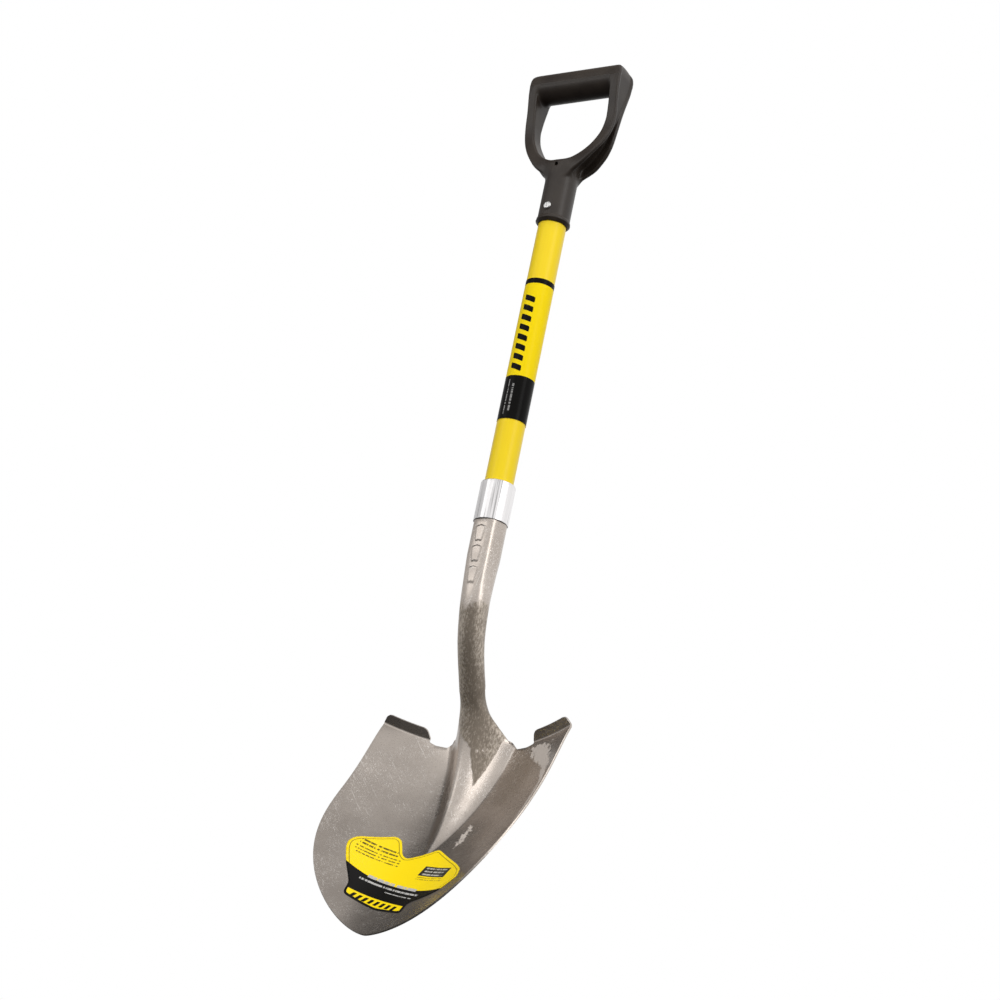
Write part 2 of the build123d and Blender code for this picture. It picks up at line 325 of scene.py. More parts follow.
def make_blade_steel():
    """Lacquered pressed steel: dark speckled scale on the neck with a painted dark reflection down its
    middle, fine scratches, and pale scuffed patches by the rim that also paint in glints.
    """
    finish = Finish("blade_steel", 0.3, metallic=1.0)
    ragged = finish.noise(170.0, 5.0, 0.65, finish.place((1, 1, 0.5)))
    forge = (finish.attribute("forge") + (ragged - 0.5) * 1.3).ramp(0.3, 0.7)
    torn = finish.noise(260.0, 5.0, 0.75, finish.place((1, 1, 0.6), (0, 0.6, 0)))
    # Ragged pale patches by the rim and the frog's tip: scuffs that also paint in glints.
    scuff_and_glint = (finish.attribute("scuff_and_glint") + (torn - 0.5) * 2.6).ramp(0.5, 0.6)
    cloud = finish.noise(14.0, 4.0, 0.6)
    grain = finish.noise(650.0, 4.0, 0.75)
    mottle = finish.noise(520.0, 6.0, 0.74, finish.place((1, 1, 0.42)))
    lines = scratches(finish, *SCRATCHES[0])
    for direction in SCRATCHES[1:]:
        lines = lines.most(scratches(finish, *direction))
    patches = finish.noise(30.0, 3.0, 0.6).ramp(0.36, 0.58)
    lines = lines * patches
    sheen = finish.mix(cloud.ramp(0.3, 0.7), LACQUER_DARK, LACQUER_LIGHT)
    sheen = finish.mix((grain - 0.5).size().ramp(0.03, 0.22), sheen, LACQUER_SPECKLE)
    sheen = finish.mix(lines * 0.7, sheen, SCRATCHED)
    # The band attribute darkens the scale down the neck's middle: a painted dark reflection.
    tone = mottle - finish.attribute("band") * 0.22 + 0.03
    dull = finish.mix(tone.ramp(0.30, 0.68), SCALE_DARK, SCALE_LIGHT)
    steel = finish.mix(forge, sheen, dull)
    # The pale scuffed patches, which also paint in glints, laid over the steel.
    finish.set_colour(finish.mix(scuff_and_glint * 0.9, steel, SCUFFED_AND_GLINT))
    finish.set_metallic((scuff_and_glint * 0.8).most(forge * 0.45) * -1.0 + 1.0)
    rough = grain * 0.12 + cloud * 0.10 + 0.17
    finish.set_roughness(rough + forge * 0.17 + lines * 0.1 + scuff_and_glint * 0.2)
    height = grain * 0.3 + mottle * (forge * 2.2 + 0.2) - lines * 0.35 + cloud * 1.2
    finish.bump(height, 0.00012, 0.55)
    return finish.material


FERRULE_TINT = (0.93, 0.91, 0.91)
RIVET_TINT = (0.86, 0.85, 0.84)


def make_bright_steel(name, tint):
    """Polished drawn steel with soft drawn streak marks along the handle; the dark streak bands in its
    colour also paint in reflections.
    """
    finish = Finish(name, 0.16, metallic=1.0)
    drawn = finish.noise(1.0, 3.0, 0.6, finish.place((900, 900, 8)))
    streaks_and_reflections = finish.noise(1.0, 2.0, 0.55, finish.place((240, 240, 5)))
    spots = finish.noise(260.0, 4.0, 0.6)
    dark = tuple(0.86 * c for c in tint)
    # Dark streak colour: drawn marks that also stand in for reflected dark lines, a painted reflection.
    streak_reflection_dark = tuple(0.45 * c for c in tint)
    metal = finish.mix(drawn.ramp(0.35, 0.7), tint, dark)
    # The dark streak bands are partly drawn marks and partly painted reflection.
    finish.set_colour(finish.mix(streaks_and_reflections.ramp(0.57, 0.66), metal, streak_reflection_dark))
    finish.set_roughness(drawn * 0.14 + spots * 0.08 + 0.19)
    finish.bump(drawn + streaks_and_reflections * 3.0 + spots * 0.4, 0.00006, 0.5)
    return finish.material


GRIP_DARK = (0.025, 0.0182, 0.0143)
GRIP_LIGHT = (0.037, 0.028, 0.0215)


def make_grip_plastic():
    """Moulded polypropylene, satin, brown-black."""
    finish = Finish("moulded_polypropylene", 0.4, Specular_IOR_Level=0.4)
    fine = finish.noise(2600.0, 2.0, 0.6)
    cloud = finish.noise(38.0, 3.0, 0.5)
    finish.set_colour(finish.mix(cloud.ramp(0.3, 0.7), GRIP_DARK, GRIP_LIGHT))
    finish.set_roughness(fine * 0.10 + cloud * 0.12 + 0.26)
    finish.bump(fine + cloud * 0.5, 0.00006, 0.6)
    return finish.material


YELLOW = (1.0, 0.74, 0.003)
DEEP_YELLOW = (0.98, 0.69, 0.002)
BLACK = (0.0038, 0.0034, 0.003)


def make_handle_yellow():
    """Pulled fibreglass: strands run along the tube."""
    finish = Finish("yellow_fibreglass", 0.3, Specular_IOR_Level=0.3)
    strands = finish.noise(1.0, 3.0, 0.6, finish.place((1600, 1600, 14)))
    cloud = finish.noise(20.0, 2.0, 0.5)
    tone = strands * 0.7 + cloud * 0.3
    finish.set_colour(finish.mix(tone.ramp(0.3, 0.7), YELLOW, DEEP_YELLOW))
    finish.set_roughness(strands * 0.14 + 0.24)
    finish.bump(strands, 0.00004, 0.5)
    return finish.material


FILLER_LIGHT = (0.55, 0.40, 0.22)
FILLER_DARK = (0.38, 0.25, 0.12)


def make_core_material():
    """Sawn filler at the tube's ends."""
    finish = Finish("filler_core", 0.7)
    rings = finish.noise(1.0, 4.0, 0.6, finish.place((260, 260, 12)))
    finish.set_colour(finish.mix(rings.ramp(0.3, 0.7), FILLER_LIGHT, FILLER_DARK))
    finish.bump(rings, 0.0002, 0.5)
    return finish.material


# The printed wrap on the handle: its black ring and band, and its blocks.
WRAP_R = 16.2
RING_Z, RING_HALF = -254.2, 3.2
BAND_Z, BAND_HALF = -397.0, 26.0
BLOCK_HEIGHTS = range(-360, -264, 12)
BLOCK_HALF = (6.4, 3.4)
BAND_GREY = (0.42, 0.41, 0.40)
# Fine dashed bars on the black band, as (place round the handle, half width, low end, high end).
BAND_BARS = ((3.2, 1.1, -414, -381), (-2.4, 0.65, -418, -376))


def make_handle_print():
    """Printed wrap: black ring, yellow field with plain slanted blocks, black band with plain fine bars."""
    finish = Finish("printed_wrap", 0.25, Specular_IOR_Level=0.07)
    x, y, z = finish.axes()
    around = x.apply("ARCTAN2", y * -1.0) * WRAP_R
    ring = (z - RING_Z).size() - RING_HALF
    band = (z - BAND_Z).size() - BAND_HALF
    ink = ring.least(band)
    for centre in BLOCK_HEIGHTS:
        slanted = block(around, z + around * 0.35, (1.5, centre), BLOCK_HALF, 1.2)
        ink = ink.least(slanted)
    print_colour = finish.mix(ink.inside(), YELLOW, BLACK)
    dashes = finish.noise(1.0, 1.0, 0.5, finish.place((1, 1, 520))).ramp(0.44, 0.5)
    for place, half, bottom, top in BAND_BARS:
        bar = ((around - place).size() - half).most((z - (bottom + top) / 2).size() - (top - bottom) / 2)
        print_colour = finish.mix(bar.inside(0.3) * dashes * 0.75, print_colour, BAND_GREY)
    finish.set_colour(print_colour)
    waves = finish.noise(70.0, 3.0, 0.5)
    finish.set_roughness(waves * 0.16 + 0.18)
    finish.bump(waves, 0.00012, 0.5)
    return finish.material


# The sticker's print, in millimetres across the blade and down it. A row of fine dashes is
# (middle, level, reach to each side, half height).
PRINT_SLOPE = 0.245
FIELD_ROWS = ((-53, 161.5, 22, 1.2), (-52, 166.5, 23, 1.2), (-49, 172.5, 27, 0.8), (-47, 177, 28, 0.8),
              (-46, 181.5, 26, 0.8))
PLATE_ROWS = ((-8, 215.5, 34, 2.0), (-8, 222.5, 41, 1.3), (8, 232.5, 19, 0.6))
BADGE_ROWS = ((31.0, 188.5, 15.0, 1.2), (31.0, 193.5, 15.0, 1.2), (31.0, 198.5, 15.0, 1.2))
FOOT_ROWS = ((31.0, 204.3, 20.0, 0.6), (31.0, 207.3, 20.0, 0.6))
EDGE_LINE = (0.16, 0.12, 0.01)
ROW_BROWN = (0.13, 0.10, 0.01)
ROW_GREY = (0.50, 0.49, 0.47)
BADGE_DARK = (0.03, 0.028, 0.02)
BADGE_GREY = (0.50, 0.48, 0.42)
FOOT_BROWN = (0.35, 0.25, 0.01)


def make_blade_print():
    """Printed sticker on the blade: plain colour fields, plain bars and plain dashes, no lettering."""
    finish = Finish("printed_sticker", 0.35, Specular_IOR_Level=0.2)
    x, s = finish.sheet_axes()
    edge = finish.attribute("edge")
    marks = finish.noise(1.0, 1.0, 0.5, finish.place((700, 60, 60))).ramp(0.40, 0.47)

    def add_rows(colour, rows, slope, ink, corner=0.3, slant=0.0):
        for at, level, reach, half in rows:
            row = block(x, (s - level) - (x - at) * slope, (at, 0.0), (reach, half), corner, slant)
            colour = finish.mix(row.inside() * marks, colour, ink)
        return colour

    colour = finish.mix(((edge - 3.0).size() - 0.35).inside(), YELLOW, EDGE_LINE)
    field = (s - 197.0) - (x + 72.0) * 0.25 + ((x + 10.0) * (x + 10.0)) * 0.0016 - 4.5
    colour = finish.mix((field * -1.0).inside(), colour, BLACK)
    plate_line = (s - 229.5) - (x + 55.0) * PRINT_SLOPE
    plate = (plate_line * -1.0).most(edge * -1.0 + 2.4).most((x - 24.0) + (s - 250) * 0.05)
    colour = finish.mix(plate.inside(), colour, YELLOW)
    line = (s - 245.4) - (x + 14.0) * PRINT_SLOPE
    for at in range(-42, 18, 8):
        bar = block(x, line, (at, 0.0), (2.2, 3.4), 0.6, -0.5)
        colour = finish.mix(bar.inside(), colour, BLACK)
    colour = add_rows(colour, FIELD_ROWS, 0.16, ROW_BROWN)
    colour = add_rows(colour, PLATE_ROWS, PRINT_SLOPE, ROW_GREY)
    badge = block(x, (s - 193.5) - (x - 31.0) * 0.2, (31.0, 0.0), (19.0, 8.0), 0.8, -0.1)
    colour = finish.mix(badge.inside(), colour, BADGE_DARK)
    colour = add_rows(colour, BADGE_ROWS, 0.2, BADGE_GREY, slant=-0.1)
    colour = add_rows(colour, FOOT_ROWS, 0.2, FOOT_BROWN, corner=0.2)
    finish.set_colour(colour)
    waves = finish.noise(60.0, 3.0, 0.5)
    finish.set_roughness(waves * 0.16 + 0.26)
    finish.bump(waves, 0.0002, 0.5)
    return finish.material


# ======== head: blade, frog, neck, socket and steps
BLADE_TOP = np.array((0.0, 72.0, -757.0))
BLADE_LENGTH = 290.0
BLADE_HALF_WIDTH = 119.4
WIDEST_S = 110.0         # how far down the blade it is widest
TOP_NARROWING = 1.8
LIFT = math.radians(29)
BOWL_DEPTH = 21.0
WING_RISE = 43.0         # of the wings' outer edges over the middle
WING_DIP = 19.0          # how much less that is at the blade's top
FROG_LENGTH = 168.0
FROG_HALF_WIDTH = 46.0
FROG_HEIGHT = 56.0
DOWN = np.array((0.0, -math.sin(LIFT), -math.cos(LIFT)))
FRONT = np.array((0.0, -math.cos(LIFT), math.sin(LIFT)))
ACROSS = np.array((1.0, 0.0, 0.0))
SHEET = 2.0
RIM_ROUND = 0.45
SOCKET_TOP = -496.5
SOCKET_END = -576.0
SOCKET_R = 18.15
NOTCH_S = 14.5           # how far down the blade the notches beside the neck reach
NOTCH_INNER_X = 44.0
NOTCH_OUTER_X = 57.0
STEP_INNER_X = 66.0
STEP_HEIGHT = 13.0
STEP_COLUMNS = 28
STEP_LEAN = math.radians(34)
STEP_BEND_R = 3.4
STEP_BEND_RISE = 3.2
STEP_CORNER = 4.5
# middle line of the neck as (y, z, radius)
NECK = [(0, SOCKET_END, SOCKET_R), (0, SOCKET_END - 8, 18.0), (0.1, -603, 17.0), (1.5, -632, 15.7),
        (6.7, -664, 14.6), (13.5, -685, 14.1), (23, -706, 13.9), (30, -719.5, 14.2)]
# half width of the open seam at the back, at distances below the datum
SEAM_DEPTHS = (480, 600, 680, 720, 735)
SEAM_HALF_WIDTHS = (1.2, 1.2, 6, 14.05, 14.05)
# the socket's flat front and flattened sides: the heights over which they come and go, and their depth
FLATS_BOTTOM = (-640, -600)
FLATS_TOP = (-543, -537)
FRONT_FLAT = 0.9
SIDE_FLAT = 0.945
SIDE_ANGLE = math.radians(72)
# plain slanted pads on the socket's front, the heights they lie between, and the finer rows for them
PAD_HEIGHTS = (-557.5, -581.0, -604.5)
PAD_HALF = (3.8, 7.0)
PAD_CORNER = 2.2
PAD_RISE = 0.7
PADS_TOP, PADS_BOTTOM = -540, -625
FINE_TOP = -546
FINE_STEP = 0.6


def blade_height(x, s):
    """Height of the blade's front face over its middle chord, s along the blade from its top."""
    u = s / BLADE_LENGTH
    wings = (WING_RISE - WING_DIP * np.exp(-s / 30)) * (np.abs(x) / 118) ** 2.2
    # 6.75 makes the bowl's greatest depth, a third of the way down, BOWL_DEPTH.
    bowl = BOWL_DEPTH * 6.75 * u * (1 - u) ** 2
    share = np.clip(1 - np.maximum(s, 0) / FROG_LENGTH, 1e-6, 1)
    across = np.minimum(np.abs(x) / (FROG_HALF_WIDTH * share ** 0.8), 1)
    bump = FROG_HEIGHT * share ** 1.5 * np.cos(math.pi * across / 2) ** 2
    return wings - bowl + np.where(share > 2e-6, bump, 0)


def blade_point(x, s):
    """Points of the blade's front face."""
    x, s = np.broadcast_arrays(np.asarray(x, float), np.asarray(s, float))
    height = blade_height(x, s)
    return BLADE_TOP + x[..., None] * ACROSS + s[..., None] * DOWN + height[..., None] * FRONT


def blade_slopes(x, s):
    """Changes of the blade's surface per millimetre across and down."""
    step = 0.2
    across = (blade_point(x + step, s) - blade_point(x - step, s)) / (2 * step)
    down = (blade_point(x, s + step) - blade_point(x, s - step)) / (2 * step)
    return across, down


def half_width(s):
    """Half the blade's width at a distance down it."""
    s = np.asarray(s, float)
    k = np.clip((s - WIDEST_S) / (BLADE_LENGTH - WIDEST_S), 0, 1)
    above = BLADE_HALF_WIDTH - TOP_NARROWING * (1 - s / WIDEST_S)
    return np.where(s <= WIDEST_S, above, BLADE_HALF_WIDTH * np.clip(1 - k ** 2.4, 0, 1) ** 0.7)


def centre_shares():
    """Places from the front middle (0) to the seam or notch (1), finer over the embossed front."""
    return np.concatenate([np.linspace(0, 0.21, 22)[:-1], np.linspace(0.21, 1, 34)])


def socket_radius(angle, z, radius):
    """Radius of the socket, with a flat front and flattened sides between the ferrule and the neck."""
    amount = smooth_step(z, *FLATS_BOTTOM) * (1 - smooth_step(z, *FLATS_TOP))
    flatness = FRONT_FLAT - 0.02 * smooth_step(-z, 574, 590)
    front = radius * flatness / np.maximum(np.cos(angle), 0.2)
    side = radius * SIDE_FLAT / np.maximum(np.cos(angle - SIDE_ANGLE), 0.2)
    faceted = soft_min(soft_min(np.full_like(angle, radius), side, 1.8), front, 3.4)
    return radius + (faceted - radius) * amount


def embossed(along, z):
    """Height of three plain slanted pads pressed out of the socket's front."""
    height = np.zeros_like(along)
    for centre in PAD_HEIGHTS:
        dx = np.abs(along - (z - centre) * 0.12 + 0.5) - PAD_HALF[0]
        dz = np.abs(z - centre + along * 0.3) - PAD_HALF[1]
        beyond = np.hypot(np.maximum(dx, 0), np.maximum(dz, 0))
        outside = beyond + np.minimum(np.maximum(dx, dz), 0) - PAD_CORNER
        height += PAD_RISE * (1 - smooth_step(outside, -1.3, 0.3))
    return height


def neck_rings():
    """Right half of every ring of the socket and neck, from the socket's top down."""
    rows = []
    shares = centre_shares()
    straight = np.concatenate([np.linspace(SOCKET_TOP, FINE_TOP, 12)[:-1],
                               np.arange(FINE_TOP, SOCKET_END, -FINE_STEP)])
    stations = [(0.0, z, SOCKET_R) for z in straight] + [tuple(p) for p in smooth_path(NECK, 175)]
    places = np.array(stations)
    ahead = np.gradient(places[:, :2], axis=0)
    for (y, z, radius), (dy, dz) in zip(stations, unit(ahead)):
        gap = np.interp(-z, SEAM_DEPTHS, SEAM_HALF_WIDTHS)
        last_angle = math.pi - math.asin(gap / radius)
        angle = shares * last_angle
        out = socket_radius(angle, z, radius)
        if PADS_BOTTOM < z < PADS_TOP:
            out = out + embossed(np.sin(angle) * out, z) * (np.cos(angle) > 0.6)
        toward_front = np.array((0.0, dz, -dy))
        centre = np.array((0.0, y, z))
        rows.append(centre + out[:, None] * (np.sin(angle)[:, None] * ACROSS
                                             + np.cos(angle)[:, None] * toward_front))
    direction = np.array((0.0, *unit(ahead)[-1]))
    return np.array(rows), direction


def join_rows(start, direction):
    """Rows that run from the last neck ring into the blade, smooth at both ends."""
    count = 30
    shares = centre_shares()
    x = NOTCH_INNER_X * shares
    s = np.full_like(x, NOTCH_S)
    end = blade_point(x, s)
    across, down = blade_slopes(x, s)
    length = np.linalg.norm(end - start, axis=-1, keepdims=True)
    sweep = shares[:, None] ** 3
    toward_front = np.array((0.0, direction[2], -direction[1]))
    leave = direction * length * (1.05 + 0.5 * sweep) - (0.5 * ACROSS + 0.55 * toward_front) * length * sweep
    arrive = down * length * (1.0 - 0.76 * sweep) + across * length * 0.34 * sweep
    rows = []
    for t in np.linspace(0, 1, count + 1)[1:]:
        rows.append((2 * t ** 3 - 3 * t ** 2 + 1) * start + (t ** 3 - 2 * t ** 2 + t) * leave
                    + (3 * t ** 2 - 2 * t ** 3) * end + (t ** 3 - t ** 2) * arrive)
    return np.array(rows)


def blade_columns():
    """Places across the right half at the notch's bottom: under the neck, the notch and the step."""
    inner = NOTCH_INNER_X * centre_shares()
    notch = np.linspace(NOTCH_INNER_X, NOTCH_OUTER_X, 5)[1:]
    outer = np.linspace(NOTCH_OUTER_X, float(half_width(NOTCH_S)), STEP_COLUMNS)[1:]
    return np.concatenate([inner, notch, outer])


def blade_rows():
    """Rows of the blade's right half from the notch's bottom to the tip."""
    columns = blade_columns() / float(half_width(NOTCH_S))
    t = np.linspace(0, 1, 110)
    stations = NOTCH_S + (BLADE_LENGTH - NOTCH_S) * (1 - (1 - t) ** 1.5)
    return np.array([blade_point(columns * float(half_width(s)), s) for s in stations])


def step_rows():
    """The strip above the notch's bottom, the rolled bend and the tread, right side."""
    start_x = np.linspace(NOTCH_OUTER_X, float(half_width(NOTCH_S)), STEP_COLUMNS)
    share = (start_x - start_x[0]) / (start_x[-1] - start_x[0])
    end_s = 11.0 - 2.2 * share
    end_x = STEP_INNER_X + share * (float(half_width(9)) - STEP_INNER_X)
    rows = []
    for t in np.linspace(0, 1, 9)[:-1]:
        turn = math.sin(t * math.pi / 2)
        s = NOTCH_S + (end_s - NOTCH_S) * t
        x = start_x + (end_x - start_x) * turn
        rows.append(blade_point(x, s))
    x = end_x
    rows.append(blade_point(x, end_s))
    _, down = blade_slopes(x, end_s)
    leave = unit(-down)
    along = unit(rows[-1][-1] - rows[-1][0])
    rise = np.array((0.0, -math.sin(STEP_LEAN), math.cos(STEP_LEAN)))
    rise = unit(rise - along * (rise @ along))
    turn = np.arccos(np.clip(leave @ rise, -1, 1))
    sideways = unit(rise - leave * (leave @ rise)[:, None])
    base = rows[-1]
    for t in np.linspace(0, 1, 9)[1:]:
        a = turn * t
        bent = np.sin(a)[:, None] * leave + (1 - np.cos(a))[:, None] * sideways
        rows.append(base + STEP_BEND_R * bent)
    base = rows[-1]
    length = np.linalg.norm(base[-1] - base[0])
    flat = STEP_HEIGHT - STEP_BEND_RISE
    for b in np.linspace(0, 1, 12)[1:]:
        height = flat * b
        into_corner = max(0.0, height - (flat - STEP_CORNER))
        round_off = STEP_CORNER - math.sqrt(STEP_CORNER ** 2 - into_corner ** 2)
        inner = 6.0 * b + round_off
        outer = length - 2.5 * b - round_off
        place = inner + (outer - inner) * share
        number = np.interp(place / length, share, range(STEP_COLUMNS))
        low = np.floor(number).astype(int).clip(0, STEP_COLUMNS - 2)
        line = base[low] + (base[low + 1] - base[low]) * (number - low)[:, None]
        rows.append(line + rise * height)
    return np.array(rows)


def both_sides(rows):
    """Rows of a right half, from the middle outward, made whole."""
    left = rows[:, :0:-1] * np.array((-1.0, 1.0, 1.0))
    return np.concatenate([left, rows], axis=1)


def forge_share(points):
    """1 where the steel keeps its dark scale from forging: the neck, an arch's end and a V on the frog."""
    x = points[:, 0]
    top = smooth_step(-points[:, 2] - 4 * np.cos(x / 5.0), 624, 652)
    s = (points - BLADE_TOP) @ DOWN
    arch = 39 - 27 * np.clip(np.abs(x - 10) / np.where(x < 10, 26, 17), 0, 3) ** 2
    neck = top * (1 - smooth_step(s, arch - 3.5, arch + 0.5))
    reach = 9.0 * (70 - s) / 34
    patch = smooth_step(reach - np.abs(x - 15), -1.5, 2.0) * smooth_step(s - arch, -1.5, 0.5) * (s < 75)
    return np.maximum(neck, 0.85 * patch)


def painted_dark_band_share(points):
    """1 down the middle line of the neck's front, where the scale is darkened as a painted dark reflection.
    """
    x = points[:, 0]
    spread = smooth_step(-points[:, 2], 690, 735)
    across = (x - 6.0 - 5.0 * spread) / (6.5 + 7.0 * spread)
    return np.exp(-across ** 2) * smooth_step(-points[:, 2], 610, 650)


def scuff_and_glint_share(points):
    """1 where the lacquer is painted pale, as scuffs that also stand in for glints (painted highlight): a
    streak inside the right rim and a patch by the frog's tip.
    """
    x = points[:, 0]
    s = (points - BLADE_TOP) @ DOWN
    stations = (14, 28, 50, 80, 120, 160)
    middle = np.interp(s, stations, (76, 83, 101, 112, 112.5, 110))
    reach = np.interp(s, stations, (17, 17, 9, 3.5, 4.5, 4))
    along = smooth_step(s, 12, 20) * (1 - smooth_step(s, 120, 165))
    streak = np.clip(1.35 - np.abs(x - middle) / reach, 0, 1) * along
    by_tip = np.clip(1.2 - np.hypot((x - 31) / 7, (s - 132) / 26), 0, 1) * 0.85
    behind = blade_height(x, s) - (points - BLADE_TOP) @ FRONT
    return np.maximum(streak, by_tip) * (behind < 0.8)


def make_head():
    """The head's one sheet, from grids of its front face that are welded and given a thickness."""
    rings, direction = neck_rings()
    joins = join_rows(rings[-1], direction)
    points, faces = [], []
    for rows in (both_sides(np.concatenate([rings, joins])), both_sides(blade_rows())):
        start = sum(len(p) for p in points)
        faces += [quad[::-1] for quad in grid_quads(rows.shape[0], rows.shape[1], start)]
        points.append(rows.reshape(-1, 3))
    right = step_rows()
    for side in (1, -1):
        rows = right if side == 1 else (right * np.array((-1.0, 1.0, 1.0)))[:, ::-1]
        start = sum(len(p) for p in points)
        faces += grid_quads(rows.shape[0], rows.shape[1], start)
        points.append(rows.reshape(-1, 3))
    points = np.concatenate(points)
    head = make_object("head_steel", points, faces, make_blade_steel())
    weld(head)
    thick = head.modifiers.new("sheet", "SOLIDIFY")
    thick.thickness = SHEET * MM
    thick.offset = -1.0
    rim = head.modifiers.new("rim", "BEVEL")
    rim.width = RIM_ROUND * MM
    rim.segments = 2
    rim.limit_method = "ANGLE"
    rim.angle_limit = math.radians(60)
    apply_modifiers(head)
    keep_in_box(head)
    # The scuff attribute marks pale scuffs that also paint in glints.
    places = np.array([v.co for v in head.data.vertices]) / MM + np.array((0.0, 0.0, BAR_RISE))
    # The band attribute carries a painted dark reflection down the neck's middle.
    for name, share in (("forge", forge_share), ("scuff_and_glint", scuff_and_glint_share), ("band", painted_dark_band_share)):
        layer = head.data.attributes.new(name, "FLOAT", "POINT")
        layer.data.foreach_set("value", share(places).astype(np.float32))
    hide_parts("head")
    return head


# ======== blade sticker
LABEL_OUTLINE = [(-82, 178), (-85, 167), (-80, 157), (-46, 141), (-38, 145), (-33, 154), (-26, 166),
                 (-18, 172), (-1, 163), (12, 153), (53, 183), (67, 196), (73, 212), (58, 229), (27, 243),
                 (26, 259), (-9, 255), (-53, 239), (-55, 223), (-72, 197)]
LABEL_CORNER = 5.0
LABEL_CELL = 3.0
LABEL_LIFT = 0.42        # its front over the steel
LABEL_THICKNESS = 0.28


def outline_distance(outline, x, z):
    """Distance from points to a closed outline, negative inside."""
    ends = np.roll(outline, -1, axis=0)
    shape = x.shape
    x, z = x.ravel(), z.ravel()
    best = np.full(x.shape, 1e18)
    inside = np.zeros(x.shape, bool)
    for (ax, az), (bx, bz) in zip(outline, ends):
        ex, ez = bx - ax, bz - az
        t = np.clip(((x - ax) * ex + (z - az) * ez) / (ex * ex + ez * ez), 0, 1)
        best = np.minimum(best, (x - ax - ex * t) ** 2 + (z - az - ez * t) ** 2)
        crosses = (az > z) != (bz > z)
        inside ^= crosses & (x < ex * (z - az) / (ez if ez else 1e-9) + ax)
    return (np.sqrt(best) * np.where(inside, -1, 1)).reshape(shape)


def rounded_outline(corners, radius):
    """A closed outline with its corners rounded."""
    points = []
    count = len(corners)
    for k in range(count):
        before, corner, after = (np.array(corners[(k + d) % count], float) for d in (-1, 0, 1))
        run = min(radius, np.linalg.norm(before - corner) * 0.45, np.linalg.norm(after - corner) * 0.45)
        start = corner + unit(before - corner) * run
        end = corner + unit(after - corner) * run
        for t in np.linspace(0, 1, 6):
            points.append((1 - t) ** 2 * start + 2 * t * (1 - t) * corner + t ** 2 * end)
    return np.array(points)


def make_sticker():
    """The film: its flat outline, cut into a fine grid and laid on the blade's front face."""
    outline = rounded_outline(LABEL_OUTLINE, LABEL_CORNER)
    mesh = bmesh.new()
    loop = [mesh.verts.new((x, s, 0)) for x, s in outline]
    mesh.faces.new(loop)
    # The cuts lie a little off whole millimetres, so that none runs through a corner of the outline.
    for axis, low, high in ((0, -88, 78), (1, 138, 262)):
        for at in np.arange(low, high, LABEL_CELL):
            place, normal = Vector((0, 0, 0)), Vector((0, 0, 0))
            place[axis], normal[axis] = at + 0.17, 1.0
            bmesh.ops.bisect_plane(mesh, geom=mesh.verts[:] + mesh.edges[:] + mesh.faces[:],
                                   plane_co=place, plane_no=normal)
    bmesh.ops.remove_doubles(mesh, verts=mesh.verts, dist=0.01)
    mesh.verts.index_update()
    flat = np.array([v.co[:2] for v in mesh.verts])
    faces = [[v.index for v in face.verts] for face in mesh.faces]
    mesh.free()
    x, s = flat[:, 0], flat[:, 1]
    across, down = blade_slopes(x, s)
    normal = unit(np.cross(down, across))
    normal *= np.sign(normal @ FRONT)[:, None]
    points = blade_point(x, s) + normal * LABEL_LIFT
    sticker = make_object("blade_sticker", points, faces, make_blade_print())
    work = bmesh.new()
    work.from_mesh(sticker.data)
    if sum((face.normal.dot(Vector(FRONT)) for face in work.faces)) < 0:
        bmesh.ops.reverse_faces(work, faces=work.faces)
    work.to_mesh(sticker.data)
    work.free()
    sheet = sticker.data.uv_layers.new(name="sheet")
    corners = np.zeros(len(sticker.data.loops), int)
    sticker.data.loops.foreach_get("vertex_index", corners)
    sheet.data.foreach_set("uv", ((flat[corners] + UV_MIDDLE) / UV_SPAN).astype(np.float32).ravel())
    edge = sticker.data.attributes.new("edge", "FLOAT", "POINT")
    edge.data.foreach_set("value", (-outline_distance(outline, x, s)).astype(np.float32))
    film = sticker.modifiers.new("film", "SOLIDIFY")
    film.thickness = LABEL_THICKNESS * MM
    film.offset = -1.0
    apply_modifiers(sticker)
    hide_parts("blade_label")
    return sticker


# ======== grip
BAR_R = 17.2
BAR_HALF_LENGTH = 54.0
PLATE = 5.4              # thickness of the front and rear plates
PLATE_ROUND = 2.6
WEB_INSET = 2.0
RIM_Z = -178.5
HANDLE_R = 15.875
GRIP_TUBE_R = 18.4
GRIP_TUBE_TOP = -99.0
CAP_POWER = 2.6          # how square the bar's top is, where 2 is round
CAP_DEPTH = 18.6
BORE_TOP = -117.5
LIP_R = 19.35
LIP_Z = RIM_Z + 5.2
LIP_HALF = 1.8
TAPER_R = 16.55          # of the rim's end, where the taper below the lip starts
RIVET_Z = -160.0
RECESS_R = 5.4
RECESS_BOTTOM = 17.6     # distance of the recess's floor from the handle's axis
VENT_Z = -106.0
VENT_R = 2.3
VENT_END_Y = -10.0


def mirrored(points):
    """A closed outline from the points of its right half."""
    return smooth_path(points + [(-x, z) for x, z in points[::-1]], 120)


